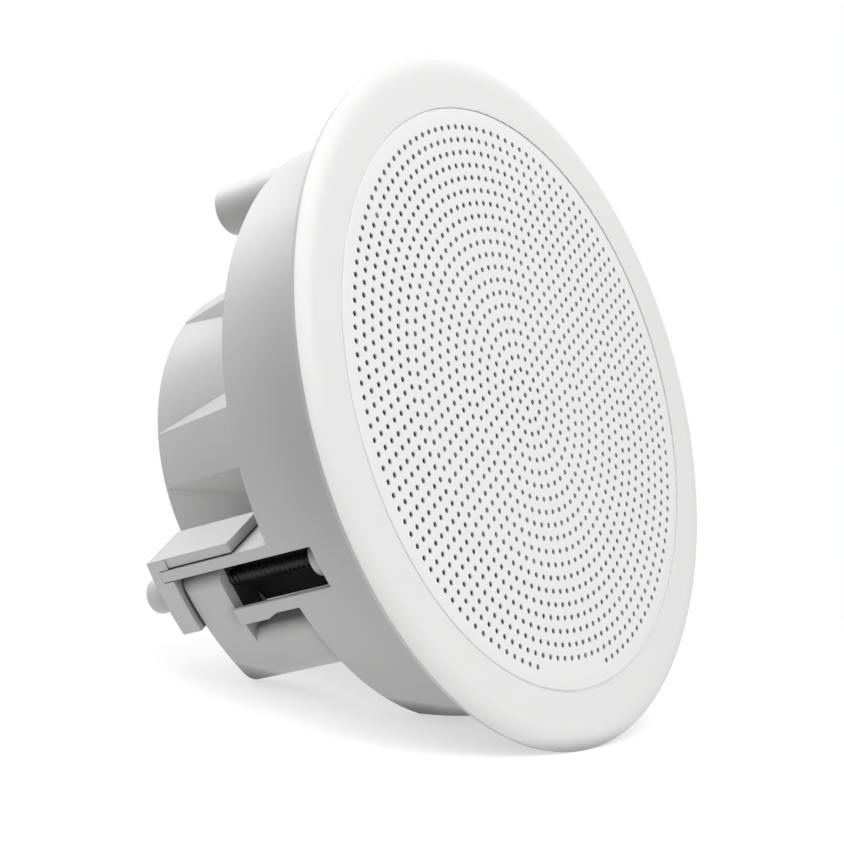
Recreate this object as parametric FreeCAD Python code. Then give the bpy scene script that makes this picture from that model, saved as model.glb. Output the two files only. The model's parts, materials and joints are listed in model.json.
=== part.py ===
import FreeCAD, Part
import math
import os

os.makedirs("parts", exist_ok=True)

V = FreeCAD.Vector
ORIGIN = V(0, 0, 0)
ALONG = V(0, 1, 0)

# Millimetres. The speaker's axis is Y, the front faces -Y, Z is up.
# Y = 0 is the seat of the flange on the panel, so depths behind the panel are positive.

# Baffle with the driver's opening, which the radii outside it follow
BAFFLE_HOLE_R = 68.5
BAFFLE_FRONT = 1.5
BAFFLE_T = 3.5

# Can and flange
CAN_WALL = 1.5
CAN_DEPTH = 38.8        # seat to the can's rear edge
FLANGE_W = 16.5         # flange past the can
FLANGE_FRONT = 4.3      # front face ahead of the seat, at the grille
FLANGE_FALL = 0.3       # fall of the front face out to the shoulder
SHOULDER_W = 7.0        # radial width of the rounded shoulder
RIM_AHEAD = 1.4         # widest line of the rim ahead of the seat
RIM_UNDER = 0.4         # rim tucks in by this at the seat
RECESS_STEP = 1.4       # grille recess inside the can's outer radius
RECESS_EDGE = 0.4       # rounded lip of the grille recess
LEDGE_AHEAD = 1.0       # ledge that the grille's rim stands on, ahead of the seat
LEDGE_W = 2.15          # radial width of that ledge

# Gasket let into the back of the flange
GASKET_FROM_CAN = 2.25
GASKET_FROM_RIM = 4.25
GASKET_T = 0.8

# Grille
GRILLE_GAP = 0.35       # dark line between the grille and the flange
GRILLE_AHEAD = 0.3      # ahead of the flange's front face
GRILLE_T = 1.0
GRILLE_RIM_T = 1.4
GRILLE_EDGE_R = 0.8
HOLE_MARGIN = 5.85      # outermost ring of holes to the grille's edge
HOLE_RINGS = 10
HOLE_CORNER_R = 1.75    # six-sided perforation, centre to corner
HOLE_BORDER = 0.6
BADGE_GAP_DEG = 27.0    # stretch of the outermost ring left plain at the bottom

# Rear cup
CUP_WALL = 2.6
CUP_NECK_W = 6.5        # neck past the driver's opening, with room for the cup screws
CUP_NECK_LEN = 5.0
CUP_MOUTH_GAP = 0.2
CUP_BACK = 96.8         # seat to the rear face
CUP_RIM_R = 59.0
CUP_EDGE_R = 1.2
FLOOR_TAPER = 0.031     # radius gained per millimetre towards the front, between the ribs
FLOOR_FROM_NECK = 17.0  # slope from the neck down to the floor between the ribs
RIBS = 6
RIB_PROUD = 0.1         # ribs past the rim at the rear face
RIB_INSET = 0.3         # keeps the ribs' ends clear of the neck and of the rounded rear edge
RIB_LEVEL = 9.7         # level stretch of a rib behind the baffle
RIB_HALF_DEG = 8.4      # half width of a rib's outer face
CUP_SCREW_INSET = 3.0
CUP_SCREW_R = 1.5
CUP_HEAD_R = 2.8
CUP_SCREW_LEN = 14.0

# Terminal pocket in the rear face
POCKET_W = 30.0
POCKET_H = 20.0
POCKET_DEPTH = 10.0
POCKET_WALL = 2.0
POCKET_BELOW = 28.0     # centre of the pocket below the axis
BLOCK_T = 3.0
TAB_W = 6.3
TAB_T = 0.8
TAB_LEN = 6.0
TAB_PITCH = 14.0

# Cutting shapes run on past the part by this much
PAST = 1.0

# Clamps: angles are seen from the front, from +X towards +Z
CLAMPS = {"top": 90.0, "left": 210.0, "right": 330.0}
SCREW_R = 2.5
SCREW_CLEAR = 0.06
SCREW_HEAD_R = 4.2
SCREW_HEAD_H = 2.6
SCREW_HEAD_GAP = 0.8    # head to the driver's ring
SCREW_PAST_KEEPER = 3.9
DRIVE_W = 1.1
DRIVE_LEN = 4.6
DRIVE_DEPTH = 1.5
COLLAR_R = 5.9
COLLAR_GAP = 0.85       # collar to the can's inner face
COLLAR_PROUD = 4.4      # collar into the window
WINDOW_LEN = 14.2
GUIDE_T = 3.5
GUIDE_TENON = 3.55      # guide wall into the keeper
STRIP_W = 4.2
STRIP_GAP = 0.3         # skin strip to the dog's barrel
STRIP_HOOK_W = 1.5
STRIP_HOOK_AT = 8.6     # behind the can's rear edge
STRIP_HOOK_LEN = 3.9

# Clamp dog
DOG_GAP = 0.25          # dog to the can's inner face
DOG_BEHIND = 0.7        # parked dog behind the can's rear edge
DOG_LEN = 36.7
BARREL_R = 6.6
BARREL_GAP = 0.3        # barrel to the sides of its channel
BARREL_LEN = 14.3
LOBE_INSET = 1.75       # lobe's centre nearer the axis than the screw's
LOBE_DEG = 19.9
LOBE_R = 8.25
NECK_LEN = 8.5
RELIEF_R = 17.0
RELIEF_ROUND = 3.2
DOG_ROUND = 1.2

# Nut inside the dog
NUT_R = 4.0
NUT_LIP = 2.6           # plastic ahead of the nut
NUT_RECESS = 0.25       # nut inside the dog's rear face
NUT_CLEAR = 0.05

# Keeper hooked over the guide wall
KEEPER_PLAY = 0.45      # parked dog to keeper
KEEPER_GAP = 0.25       # guide wall in its slot
KEEPER_T = 6.95
KEEPER_ARM_T = 3.15
KEEPER_ARM_GAP = 0.45   # arm to the guide wall
KEEPER_ARM_LEN = 31.4
KEEPER_ARM_PAST = 0.8   # arm past the guide wall's inner edge
KEEPER_ARM_INSET = 1.15
KEEPER_LOW = 11.2
KEEPER_REACH = 7.0      # web past the screw, towards the axis
KEEPER_BOSS_R = 5.7
KEEPER_BOSS_LEN = 9.4
KEEPER_BOSS_ROUND = 2.0

# Driver basket
RING_EDGE = 2.9         # driver's ring past its screws
RING_T = 1.5
RING_LIP = 1.7          # ring past the opening's edge
BASKET_GAP = 0.3
BASKET_WALL = 1.8
BASKET_BACK = 36.0
BASKET_PLATE = 2.0
BASKET_HOLE_GAP = 2.5
ARM_WINDOWS = 6
ARM_WINDOW_W = 34.0
ARM_WINDOW_MARGIN = 2.5
SHELF_AHEAD = 12.0      # spider shelf ahead of the basket's back
SHELF_T = 2.0
DRIVER_SCREW_DEGS = (138.0, 183.0, 258.0, 303.0, 18.0, 63.0)
DRIVER_SCREW_R = 1.6
DRIVER_HEAD_R = 2.8
DRIVER_HEAD_H = 1.5
DRIVER_SCREW_LEN = 9.0
DRIVER_BOSS_R = 3.0
DRIVER_BOSS_LEN = 6.5
DRIVER_BOSS_GAP = 0.6   # boss to the cup's neck
HOLE_CLEAR = 0.05

# Cone, surround, spider and coil
CONE_RIM_W = 3.0
CONE_T = 0.9
CONE_TO_SHELF = 6.8     # cone's inner end ahead of the spider shelf
COIL_R = 16.0
FORMER_T = 0.35
FORMER_PROUD = 2.2      # former ahead of the cone's inner end
FORMER_PAST = 1.0       # former behind the winding
WINDING_T = 0.65
WINDING_AHEAD = 1.0     # winding ahead of the top plate
WINDING_BEHIND = 3.0    # winding behind the top plate
SURROUND_T = 0.8
ROLL_R = 3.5
ROLL_GAP = 0.1
SURROUND_LIP = 3.0
SURROUND_GLUE = 3.7     # surround on the driver's ring
SPIDER_R = 45.0
SPIDER_GLUE = 4.0
SPIDER_T = 0.8
SPIDER_WAVE = 1.1
SPIDER_WAVES = 5

# Motor
MAGNET_R = 46.0
MAGNET_T = 18.0
MAGNET_GAP = 7.0        # winding to the magnet's bore
PLATE_INSET = 4.0       # magnet past the top plate and the yoke
TOP_PLATE_T = 6.0
GAP_OUT = 0.6           # winding to top plate
GAP_IN = 0.6            # former to pole
YOKE_T = 6.0

# Tweeter on its post
POST_R = 3.9
POST_CLEAR = 0.08
POST_HEAD_R = 6.0
POST_HEAD_T = 2.4
TWEETER_R = 14.0
TWEETER_FRONT = 1.5     # ahead of the seat
TWEETER_LEN = 10.5
TWEETER_LIP = 1.5
TWEETER_SEAT = 3.5      # dome's edge behind the tweeter's front
TWEETER_SKIRT = 5.5
TWEETER_TAPER = 6.0
DOME_INSET = 4.6
DOME_RISE = 3.0

# Crossover on the cup's rear wall
BOARD_W = 44.0
BOARD_H = 28.0
BOARD_T = 1.6
BOARD_Z = 20.0
CAP_R = 6.0
CAP_LEN = 24.0

# Radii, from the driver's opening outwards
CUP_NECK_R = BAFFLE_HOLE_R + CUP_NECK_W
CUP_SCREW_RING_R = CUP_NECK_R - CUP_SCREW_INSET
DRIVER_SCREW_RING_R = CUP_NECK_R + DRIVER_BOSS_GAP + DRIVER_BOSS_R
RING_R = DRIVER_SCREW_RING_R + RING_EDGE
SCREW_RING_R = RING_R + SCREW_HEAD_GAP + SCREW_HEAD_R
CAN_IN_R = SCREW_RING_R + COLLAR_R + COLLAR_GAP
CAN_R = CAN_IN_R + CAN_WALL
RECESS_R = CAN_R - RECESS_STEP
GRILLE_R = RECESS_R - GRILLE_GAP
HOLE_RING_R = GRILLE_R - HOLE_MARGIN
FLANGE_R = CAN_R + FLANGE_W
GASKET_IN_R = CAN_R + GASKET_FROM_CAN
GASKET_OUT_R = FLANGE_R - GASKET_FROM_RIM

# Radii, from the driver's opening inwards
RING_IN_R = BAFFLE_HOLE_R - RING_LIP
SURROUND_OUT_R = RING_IN_R + SURROUND_GLUE
ROLL_MID_R = RING_IN_R - ROLL_GAP - SURROUND_T - ROLL_R
CONE_R = ROLL_MID_R - ROLL_R - SURROUND_T - ROLL_GAP
SHELF_IN_R = SPIDER_R - SPIDER_GLUE
FORMER_R = COIL_R + FORMER_T
WINDING_R = FORMER_R + WINDING_T

# Clamp places
CHANNEL_HALF = BARREL_R + BARREL_GAP
WINDOW_FRONT = CAN_DEPTH - WINDOW_LEN
COLLAR_END = WINDOW_FRONT + COLLAR_PROUD
DOG_R = CAN_IN_R - DOG_GAP
DOG_FRONT = CAN_DEPTH + DOG_BEHIND
DOG_BACK = DOG_FRONT + DOG_LEN
BARREL_FRONT = DOG_BACK - BARREL_LEN
KEEPER_FRONT = DOG_BACK + KEEPER_PLAY
KEEPER_BACK = KEEPER_FRONT + KEEPER_T
GUIDE_END = KEEPER_FRONT + GUIDE_TENON
SCREW_TIP = KEEPER_BACK + SCREW_PAST_KEEPER

# Depths of the driver and of the cup
BAFFLE_BACK = BAFFLE_FRONT + BAFFLE_T
GRILLE_FRONT = FLANGE_FRONT + GRILLE_AHEAD
CUP_FLOOR = CUP_BACK - CUP_WALL
RING_FRONT = BAFFLE_FRONT - RING_T
SHELF_FRONT = BASKET_BACK - SHELF_AHEAD
CONE_BACK = SHELF_FRONT - CONE_TO_SHELF
MAGNET_FRONT = BASKET_BACK + TOP_PLATE_T
YOKE_FRONT = MAGNET_FRONT + MAGNET_T
YOKE_BACK = YOKE_FRONT + YOKE_T
TWEETER_BACK = TWEETER_LEN - TWEETER_FRONT


def outline(start, *steps):
    """Closed face in the X-Y plane. A step is a point, or (point on the arc, end of the arc)."""
    edges = []
    here = V(start[0], start[1], 0)
    for step in steps + (start,):
        if isinstance(step[0], tuple):
            mid = V(step[0][0], step[0][1], 0)
            end = V(step[1][0], step[1][1], 0)
            edges.append(Part.Arc(here, mid, end).toShape())
        else:
            end = V(step[0], step[1], 0)
            edges.append(Part.makeLine(here, end))
        here = end
    return Part.Face(Part.Wire(edges))


def turned(start, *steps):
    """Solid of revolution about Y from (radius, y) steps."""
    return outline(start, *steps).revolve(ORIGIN, ALONG, 360)


def rod(r, y0, y1, x=0.0, z=0.0):
    return Part.makeCylinder(r, y1 - y0, V(x, y0, z), ALONG)


def ring(r_in, r_out, y0, y1):
    return turned((r_in, y0), (r_out, y0), (r_out, y1), (r_in, y1))


def block(x0, x1, y0, y1, z0, z1):
    return Part.makeBox(x1 - x0, y1 - y0, z1 - z0, V(x0, y0, z0))


def section(points, y):
    """Closed wire through (x, z) points at one depth."""
    corners = [V(x, y, z) for x, z in points]
    return Part.makePolygon(corners + corners[:1])


def prism(points, y0, y1):
    return Part.Face(section(points, y0)).extrude(V(0, y1 - y0, 0))


def placed(shape, deg):
    """Copy turned about the speaker's axis, angles as in CLAMPS."""
    copy = shape.copy()
    copy.rotate(ORIGIN, V(0, -1, 0), deg)
    return copy


def around(shape, degs):
    return [placed(shape, deg) for deg in degs]


def joined(first, others):
    return first.fuse(others).removeSplitter()


def save(name, shape):
    solids = shape.Solids
    good = solids and all(s.isValid() and s.Volume > 0 for s in solids)
    if not good:
        raise RuntimeError(name + " is not a valid solid")
    whole = solids[0] if len(solids) == 1 else Part.makeCompound(solids)
    whole.exportStep("parts/" + name + ".step")
    print(name, len(solids), "solids", round(whole.Volume / 1000.0, 2), "cm3")


def shoulder_mid(start, end):
    """Middle of the arc that leaves start level and ends at end."""
    run = end[0] - start[0]
    fall = end[1] - start[1]
    radius = (run * run + fall * fall) / (2 * fall)
    half = math.asin(run / radius) / 2
    return (start[0] + radius * math.sin(half), start[1] + radius * (1 - math.cos(half)))


def tangent_point(p, centre, r, side):
    """Where the line from p touches a circle; side +1 or -1 picks which of the two."""
    dx = p[0] - centre[0]
    dz = p[1] - centre[1]
    reach = math.hypot(dx, dz)
    turn = math.atan2(dz, dx) + side * math.acos(r / reach)
    return (centre[0] + r * math.cos(turn), centre[1] + r * math.sin(turn))


def flange():
    level = (FLANGE_R - SHOULDER_W, FLANGE_FALL - FLANGE_FRONT)
    widest = (FLANGE_R, -RIM_AHEAD)
    lip_drop = RECESS_EDGE * (1 - math.sqrt(0.5))
    lip = (RECESS_R + RECESS_EDGE, -FLANGE_FRONT)
    lip_mid = (RECESS_R + lip_drop, lip_drop - FLANGE_FRONT)
    return turned(
        (RECESS_R - LEDGE_W, 0.0),
        (RECESS_R - LEDGE_W, -LEDGE_AHEAD),
        (RECESS_R, -LEDGE_AHEAD),
        (RECESS_R, RECESS_EDGE - FLANGE_FRONT),
        (lip_mid, lip),
        level,
        (shoulder_mid(level, widest), widest),
        (FLANGE_R - RIM_UNDER, 0.0),
        (GASKET_OUT_R, 0.0),
        (GASKET_OUT_R, -GASKET_T),
        (GASKET_IN_R, -GASKET_T),
        (GASKET_IN_R, 0.0),
    )


def can():
    shell = turned(
        (CAN_IN_R, 0.0),
        (CAN_R, 0.0),
        (CAN_R, CAN_DEPTH),
        (CAN_IN_R, CAN_DEPTH),
        (CAN_IN_R, BAFFLE_BACK),
        (BAFFLE_HOLE_R, BAFFLE_BACK),
        (BAFFLE_HOLE_R, BAFFLE_FRONT),
        (CAN_IN_R, BAFFLE_FRONT),
    )
    window = block(
        CAN_IN_R - PAST, CAN_R + PAST,
        WINDOW_FRONT, CAN_DEPTH + PAST,
        -CHANNEL_HALF, CHANNEL_HALF,
    )
    shell = shell.cut(around(window, CLAMPS.values()))

    collar = rod(COLLAR_R, BAFFLE_BACK, COLLAR_END, SCREW_RING_R)
    bridge_out = CAN_R - CAN_WALL / 2
    bridge = block(SCREW_RING_R, bridge_out, BAFFLE_BACK, WINDOW_FRONT, -COLLAR_R, COLLAR_R)
    guide_far = -(CHANNEL_HALF + GUIDE_T)
    guide = block(CUP_NECK_R, CAN_R, BAFFLE_BACK, GUIDE_END, guide_far, -CHANNEL_HALF)
    guide = guide.common(rod(CAN_R, BAFFLE_BACK, GUIDE_END))
    additions = []
    for part in (collar, bridge, guide, skin_strip()):
        additions += around(part, CLAMPS.values())
    boss = rod(DRIVER_BOSS_R, BAFFLE_BACK, BAFFLE_BACK + DRIVER_BOSS_LEN, DRIVER_SCREW_RING_R)
    additions += around(boss, DRIVER_SCREW_DEGS)
    shell = shell.fuse(additions)

    screw_hole = rod(SCREW_R + SCREW_CLEAR, BAFFLE_FRONT - PAST, COLLAR_END + PAST, SCREW_RING_R)
    pilot_end = RING_FRONT + DRIVER_SCREW_LEN + HOLE_CLEAR
    pilot = rod(DRIVER_SCREW_R + HOLE_CLEAR, BAFFLE_FRONT - PAST, pilot_end, DRIVER_SCREW_RING_R)
    cuts = around(screw_hole, CLAMPS.values()) + around(pilot, DRIVER_SCREW_DEGS)
    cuts += around(cup_screw(HOLE_CLEAR), rib_degs())
    return shell.cut(cuts)


def skin_strip():
    """Strip of the can's skin that runs on behind the rear edge, with its parking hook."""
    near = CHANNEL_HALF + STRIP_W
    far = near + STRIP_HOOK_W
    root = CAN_DEPTH - PAST
    hook = CAN_DEPTH + STRIP_HOOK_AT
    end = BARREL_FRONT - STRIP_GAP
    corners = [
        (root, CHANNEL_HALF),
        (root, near),
        (hook, near),
        (hook + STRIP_HOOK_LEN, far),
        (end, far),
        (end, CHANNEL_HALF),
    ]
    points = [V(0, y, z) for y, z in corners]
    flat = Part.Face(Part.makePolygon(points + points[:1])).extrude(V(CAN_R + PAST, 0, 0))
    return flat.common(ring(CAN_IN_R, CAN_R, root, end))


def grille():
    front = -GRILLE_FRONT
    plate_r = HOLE_RING_R + HOLE_CORNER_R + HOLE_BORDER
    wires = [Part.Wire(Part.makeCircle(plate_r, V(0, front, 0), ALONG))]
    pitch = HOLE_RING_R / HOLE_RINGS
    for k in range(HOLE_RINGS + 1):
        count = max(1, 6 * k)
        for n in range(count):
            deg = 360.0 * n / count
            off_bottom = min(deg, 360.0 - deg)
            if k == HOLE_RINGS and off_bottom < BADGE_GAP_DEG / 2:
                continue
            wires.append(hole_wire(k * pitch, deg - 90.0, front))
    plate = Part.Face(wires).extrude(V(0, GRILLE_T, 0))
    drop = GRILLE_EDGE_R * (1 - math.sqrt(0.5))
    rim = turned(
        (plate_r, front),
        (GRILLE_R - GRILLE_EDGE_R, front),
        ((GRILLE_R - drop, front + drop), (GRILLE_R, front + GRILLE_EDGE_R)),
        (GRILLE_R, -LEDGE_AHEAD),
        (GRILLE_R - GRILLE_RIM_T, -LEDGE_AHEAD),
        (GRILLE_R - GRILLE_RIM_T, front + GRILLE_T),
        (plate_r, front + GRILLE_T),
    )
    return plate.fuse(rim)


def hole_wire(r, deg, y):
    a = math.radians(deg)
    x = r * math.cos(a)
    z = r * math.sin(a)
    corners = []
    for n in range(6):
        b = a + math.pi * n / 3
        corners.append((x + HOLE_CORNER_R * math.cos(b), z + HOLE_CORNER_R * math.sin(b)))
    return section(corners, y)


def rib_degs():
    return [360.0 * n / RIBS for n in range(RIBS)]


def rib_radius(y):
    """Radius of the ribs' sloping outer faces at a depth."""
    level_end = BAFFLE_BACK + RIB_LEVEL
    rise = (CUP_NECK_R - RIB_INSET) - (CUP_RIM_R + RIB_PROUD)
    return CUP_RIM_R + RIB_PROUD + rise * (CUP_BACK - y) / (CUP_BACK - level_end)


def rib_section(y):
    """Corners of one rib at a depth, with sides at 45 degrees, taller and deeper than the rib."""
    out = rib_radius(y)
    a = math.radians(RIB_HALF_DEG)
    edge = out * (math.cos(a) + math.sin(a))
    low = CUP_RIM_R - 2 * CUP_WALL
    high = out + 3 * PAST
    corners = [(low, low - edge), (low, edge - low), (high, edge - high), (high, high - edge)]
    return [V(x, y, z) for x, z in corners]


def flat_sided(near, far):
    """Solid with flat faces between two four-cornered sections."""
    faces = [near, far]
    for n in range(4):
        m = (n + 1) % 4
        faces.append([near[n], near[m], far[m], far[n]])
    sides = [Part.Face(Part.makePolygon(f + f[:1])) for f in faces]
    solid = Part.makeSolid(Part.makeShell(sides))
    if solid.Volume < 0:
        solid.reverse()
    return solid


def cup_screw(grow=0.0):
    """Countersunk screw through the baffle into the cup, or its hole when grown."""
    head = BAFFLE_FRONT + CUP_HEAD_R - CUP_SCREW_R
    r = CUP_SCREW_R + grow
    screw = turned(
        (0.0, BAFFLE_FRONT),
        (CUP_HEAD_R + grow, BAFFLE_FRONT),
        (r, head),
        (r, BAFFLE_FRONT + CUP_SCREW_LEN + grow),
        (0.0, BAFFLE_FRONT + CUP_SCREW_LEN + grow),
    )
    screw.translate(V(CUP_SCREW_RING_R, 0, 0))
    return screw


def rear_cup():
    neck_end = BAFFLE_BACK + CUP_NECK_LEN
    floor_start = neck_end + FLOOR_FROM_NECK
    floor_r = CUP_RIM_R + FLOOR_TAPER * (CUP_BACK - floor_start)
    drop = CUP_EDGE_R * (1 - math.sqrt(0.5))
    body = turned(
        (0.0, BAFFLE_BACK),
        (CUP_NECK_R, BAFFLE_BACK),
        (CUP_NECK_R, neck_end),
        (floor_r, floor_start),
        (CUP_RIM_R, CUP_BACK - CUP_EDGE_R),
        ((CUP_RIM_R - drop, CUP_BACK - drop), (CUP_RIM_R - CUP_EDGE_R, CUP_BACK)),
        (0.0, CUP_BACK),
    )
    rib_top = CUP_NECK_R - RIB_INSET
    rib_end = CUP_BACK - CUP_EDGE_R - RIB_INSET
    envelope = turned(
        (0.0, BAFFLE_BACK + RIB_INSET),
        (rib_top, BAFFLE_BACK + RIB_INSET),
        (rib_top, BAFFLE_BACK + RIB_LEVEL),
        (rib_radius(rib_end), rib_end),
        (0.0, rib_end),
    )
    rib = flat_sided(rib_section(0.0), rib_section(CUP_BACK)).common(envelope)
    body = joined(body, around(rib, rib_degs()))

    mouth_r = BAFFLE_HOLE_R + CUP_MOUTH_GAP
    cavity = turned(
        (0.0, BAFFLE_BACK - PAST),
        (mouth_r, BAFFLE_BACK - PAST),
        (mouth_r, neck_end),
        (floor_r - CUP_WALL, floor_start),
        (CUP_RIM_R - CUP_WALL, CUP_FLOOR),
        (0.0, CUP_FLOOR),
    )
    tub = terminal_pocket(POCKET_WALL)
    body = joined(body.cut(cavity), [tub])
    return body.cut([terminal_pocket(0.0)] + around(cup_screw(HOLE_CLEAR), rib_degs()))


def terminal_pocket(wall):
    half = POCKET_W / 2 + wall
    low = -POCKET_BELOW - POCKET_H / 2 - wall
    high = POCKET_H / 2 - POCKET_BELOW + wall
    back = CUP_BACK if wall else CUP_BACK + PAST
    return block(-half, half, CUP_BACK - POCKET_DEPTH - wall, back, low, high)


def driver_basket():
    throat = BAFFLE_HOLE_R - BASKET_GAP
    slope = (throat - MAGNET_R) / (BASKET_BACK - BASKET_PLATE - BAFFLE_BACK)
    hole_r = WINDING_R + BASKET_HOLE_GAP
    shell = turned(
        (RING_IN_R, RING_FRONT),
        (RING_R, RING_FRONT),
        (RING_R, BAFFLE_FRONT),
        (throat, BAFFLE_FRONT),
        (throat, BAFFLE_BACK),
        (MAGNET_R, BASKET_BACK - BASKET_PLATE),
        (MAGNET_R, BASKET_BACK),
        (hole_r, BASKET_BACK),
        (hole_r, BASKET_BACK - BASKET_PLATE),
        (MAGNET_R - BASKET_WALL * 1.5, BASKET_BACK - BASKET_PLATE),
        (throat - BASKET_WALL, BAFFLE_BACK - BASKET_WALL / 2),
        (RING_IN_R, BAFFLE_FRONT),
    )
    opening = block(
        MAGNET_R - BASKET_WALL * 2, RING_R,
        BAFFLE_BACK + ARM_WINDOW_MARGIN, SHELF_FRONT - ARM_WINDOW_MARGIN,
        -ARM_WINDOW_W / 2, ARM_WINDOW_W / 2,
    )
    shell = shell.cut(around(opening, [360.0 * n / ARM_WINDOWS for n in range(ARM_WINDOWS)]))
    shelf_r = throat - slope * (SHELF_FRONT + SHELF_T - BAFFLE_BACK)
    shell = joined(shell, [ring(SHELF_IN_R, shelf_r - BASKET_WALL / 2, SHELF_FRONT, SHELF_FRONT + SHELF_T)])
    hole = rod(DRIVER_SCREW_R + HOLE_CLEAR, RING_FRONT - PAST, BAFFLE_FRONT + PAST, DRIVER_SCREW_RING_R)
    return shell.cut(around(hole, DRIVER_SCREW_DEGS))


def driver_screw():
    drop = DRIVER_HEAD_H / 2
    screw = turned(
        (0.0, RING_FRONT - DRIVER_HEAD_H),
        (DRIVER_HEAD_R - drop, RING_FRONT - DRIVER_HEAD_H),
        (DRIVER_HEAD_R, RING_FRONT - drop),
        (DRIVER_HEAD_R, RING_FRONT),
        (DRIVER_SCREW_R, RING_FRONT),
        (DRIVER_SCREW_R, RING_FRONT + DRIVER_SCREW_LEN),
        (0.0, RING_FRONT + DRIVER_SCREW_LEN),
    )
    screw.translate(V(DRIVER_SCREW_RING_R, 0, 0))
    return screw


def cone():
    flat_in = CONE_R - CONE_RIM_W
    return turned(
        (CONE_R, RING_FRONT),
        (CONE_R, RING_FRONT + CONE_T),
        (flat_in, RING_FRONT + CONE_T),
        (FORMER_R, CONE_BACK + CONE_T * 1.4),
        (FORMER_R, CONE_BACK),
        (flat_in + 0.3, RING_FRONT),
    )


def surround():
    level = RING_FRONT - SURROUND_T
    outer = ROLL_R + SURROUND_T
    foot = math.sqrt(outer * outer - SURROUND_T * SURROUND_T)
    return turned(
        (CONE_R - SURROUND_LIP, level),
        (ROLL_MID_R - ROLL_R, level),
        ((ROLL_MID_R, level + ROLL_R), (ROLL_MID_R + ROLL_R, level)),
        (SURROUND_OUT_R, level),
        (SURROUND_OUT_R, RING_FRONT),
        (ROLL_MID_R + foot, RING_FRONT),
        ((ROLL_MID_R, level + outer), (ROLL_MID_R - foot, RING_FRONT)),
        (CONE_R - SURROUND_LIP, RING_FRONT),
    )


def spider():
    front = SHELF_FRONT - SPIDER_T
    step = (SHELF_IN_R - FORMER_R) / (2 * SPIDER_WAVES)
    top = [(FORMER_R, front)]
    for n in range(1, 2 * SPIDER_WAVES):
        top.append((FORMER_R + n * step, front - SPIDER_WAVE * (n % 2)))
    top += [(SHELF_IN_R, front), (SPIDER_R, front)]
    under = [(r, y + SPIDER_T) for r, y in reversed(top)]
    return turned(*(top + under))


def yoke():
    pole_r = COIL_R - GAP_IN
    bore = rod(POST_R + POST_CLEAR, 0.0, YOKE_BACK + PAST)
    plate = rod(MAGNET_R - PLATE_INSET, YOKE_FRONT, YOKE_BACK)
    return joined(plate, [rod(pole_r, BASKET_BACK, YOKE_FRONT)]).cut(bore)


def tweeter_housing():
    seat = TWEETER_SEAT - TWEETER_FRONT
    return turned(
        (0.0, TWEETER_BACK),
        (TWEETER_R - TWEETER_TAPER, TWEETER_BACK),
        (TWEETER_R, TWEETER_SKIRT - TWEETER_FRONT),
        (TWEETER_R, -TWEETER_FRONT),
        (TWEETER_R - TWEETER_LIP, -TWEETER_FRONT),
        (TWEETER_R - DOME_INSET, seat),
        (0.0, seat),
    )


def tweeter_dome():
    r = TWEETER_R - DOME_INSET
    seat = TWEETER_SEAT - TWEETER_FRONT
    sphere = (r * r + DOME_RISE * DOME_RISE) / (2 * DOME_RISE)
    half = math.asin(r / sphere) / 2
    mid = (sphere * math.sin(half), seat - DOME_RISE + sphere * (1 - math.cos(half)))
    return turned((0.0, seat), (r, seat), (mid, (0.0, seat - DOME_RISE)))


def clamp_screw():
    seat = BAFFLE_FRONT
    half = SCREW_HEAD_H / 2
    screw = turned(
        (0.0, seat - SCREW_HEAD_H),
        (SCREW_HEAD_R - half, seat - SCREW_HEAD_H),
        (SCREW_HEAD_R, seat - half),
        (SCREW_HEAD_R, seat),
        (SCREW_R, seat),
        (SCREW_R, SCREW_TIP - SCREW_R / 2),
        (SCREW_R / 2, SCREW_TIP),
        (0.0, SCREW_TIP),
    )
    top = seat - SCREW_HEAD_H
    wide = block(-DRIVE_LEN / 2, DRIVE_LEN / 2, top, top + DRIVE_DEPTH, -DRIVE_W / 2, DRIVE_W / 2)
    tall = block(-DRIVE_W / 2, DRIVE_W / 2, top, top + DRIVE_DEPTH, -DRIVE_LEN / 2, DRIVE_LEN / 2)
    screw = screw.cut([wide, tall])
    screw.translate(V(SCREW_RING_R, 0, 0))
    return screw


def clamp_nut():
    front = BARREL_FRONT + NUT_LIP + NUT_CLEAR
    nut = rod(NUT_R, front, DOG_BACK - NUT_RECESS, SCREW_RING_R)
    return nut.cut(rod(SCREW_R + SCREW_CLEAR, front - PAST, DOG_BACK, SCREW_RING_R))


def clamp_dog():
    a = math.radians(LOBE_DEG)
    lobe_ring_r = SCREW_RING_R - LOBE_INSET
    lobe = (lobe_ring_r * math.cos(a), lobe_ring_r * math.sin(a))
    heel = SCREW_RING_R - BARREL_R
    inner = tangent_point((heel, NECK_LEN), lobe, LOBE_R, -1)
    beyond = DOG_R + 3 * PAST
    corners = [(heel, 0.0), (heel, NECK_LEN), inner, lobe]
    for n in range(5):
        b = a * (4 - n) / 4
        corners.append((beyond * math.cos(b), beyond * math.sin(b)))
    bar = prism(corners, DOG_FRONT, DOG_BACK)
    barrel = rod(BARREL_R, DOG_FRONT, DOG_BACK, SCREW_RING_R)
    tip = rod(LOBE_R, DOG_FRONT, DOG_BACK, lobe[0], lobe[1])
    body = joined(bar, [barrel, tip]).common(rod(DOG_R, DOG_FRONT, DOG_BACK))
    body = body.cut(rod(RELIEF_R, DOG_FRONT - PAST, BARREL_FRONT, SCREW_RING_R))
    body = rounded_relief(rounded_back(body))
    pocket_front = BARREL_FRONT + NUT_LIP
    pocket = rod(NUT_R + NUT_CLEAR, pocket_front, DOG_BACK + PAST, SCREW_RING_R)
    hole = rod(SCREW_R + 2 * SCREW_CLEAR, BARREL_FRONT - PAST, DOG_BACK, SCREW_RING_R)
    return body.cut([pocket, hole])


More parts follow.
